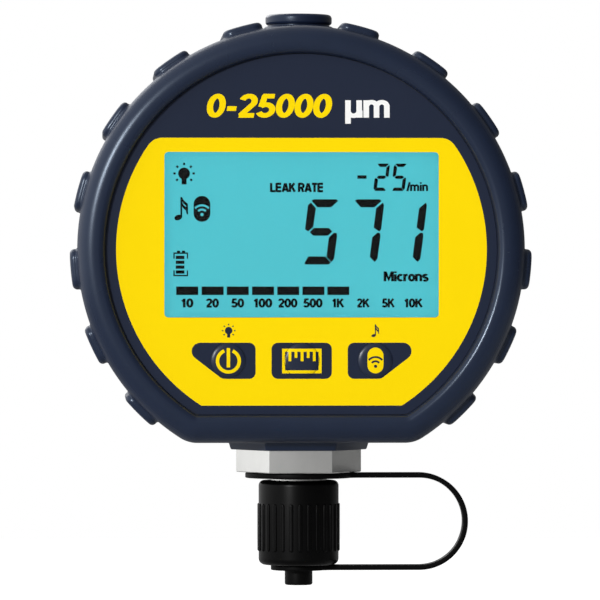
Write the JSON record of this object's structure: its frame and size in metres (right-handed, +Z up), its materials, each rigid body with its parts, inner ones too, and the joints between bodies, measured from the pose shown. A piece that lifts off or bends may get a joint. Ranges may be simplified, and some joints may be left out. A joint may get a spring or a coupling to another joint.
{
  "type": "wireless vacuum gauge",
  "caption": "Handheld round digital vacuum gauge in a ribbed rubber boot, with a backlit bar display, round keys and a capped flare port under a hexagon",
  "frame": {"origin": "centre of the flare nose at the bottom of the port", "axes": "+Z up the port's axis to the hanger plug, -Y out of the display towards the reader, +X to the reader's right"},
  "size_m": [0.0938, 0.0352, 0.1168],
  "materials": {
    "boot_rubber": "matt navy moulded rubber",
    "shell_plastic": "fine textured dark moulding",
    "face_print": "printed polyester sheet, yellow field on navy",
    "lens_clear": "clear lens",
    "lcd_glass": "turquoise display",
    "key_rubber": "navy key rubber",
    "white_plastic": "white light guide",
    "strip_rubber": "conductive rubber",
    "black_plastic": "black plastic",
    "circuit_board": "green solder mask",
    "steel": "plated steel",
    "plated_brass": "nickel plated brass",
    "cell_wrap": "plain cell jacket",
    "seal_rubber": "black seal rubber",
    "cap_plastic": "black moulded cap",
    "lead_jacket": "lead insulation"
  },
  "bodies": {
    "root": {"backlight_panel": "white_plastic", "battery_1": "cell_wrap", "battery_2": "cell_wrap", "battery_3": "cell_wrap", "battery_contacts": "steel", "battery_door": "shell_plastic", "battery_door_screws": "steel", "beeper": "black_plastic", "board_screws": "steel", "boot": "boot_rubber", "cap_tether": "cap_plastic", "case_screws": "steel", "contact_strips": "strip_rubber", "display_lens": "lens_clear", "face_overlay": "face_print", "fitting_nut": "plated_brass", "fitting_o_ring": "seal_rubber", "front_shell": "shell_plastic", "key_switches": "black_plastic", "lcd_frame": "white_plastic", "lcd_panel": "lcd_glass", "main_board": "circuit_board", "processor": "black_plastic", "radio_module": "steel", "rear_shell": "shell_plastic", "sensor_board": "circuit_board", "sensor_element": "steel", "sensor_fitting": "plated_brass", "sensor_lead": "lead_jacket", "shell_seal": "seal_rubber", "top_plug": "boot_rubber"},
    "power_button": {"power_key": "key_rubber"},
    "units_button": {"units_key": "key_rubber"},
    "wireless_button": {"wireless_key": "key_rubber"},
    "cap_travel": {"cap_gasket": "seal_rubber"},
    "cap": {"dust_cap": "cap_plastic"}
  },
  "joints": [
    {"name": "power_press", "type": "slide", "parent": "root", "child": "power_button", "axis": [0, 1, 0], "range_m": [0, 0.0004], "stiffness_N_per_m": 3000},
    {"name": "units_press", "type": "slide", "parent": "root", "child": "units_button", "axis": [0, 1, 0], "range_m": [0, 0.0004], "stiffness_N_per_m": 3000},
    {"name": "wireless_press", "type": "slide", "parent": "root", "child": "wireless_button", "axis": [0, 1, 0], "range_m": [0, 0.0004], "stiffness_N_per_m": 3000},
    {"name": "cap_advance", "type": "slide", "parent": "root", "child": "cap_travel", "axis": [0, 0, -1], "range_m": [0, 0.00888], "deforming": ["cap_tether"]},
    {"name": "cap_turn", "type": "hinge", "parent": "cap_travel", "child": "cap", "pos_m": [0, 0, 0], "axis": [0, 0, -1], "range_deg": [0, 2520]}
  ],
  "couplings": [
    {"joint": "cap_turn", "follows": "cap_advance", "rad_per_m": 4947.4}
  ]
}
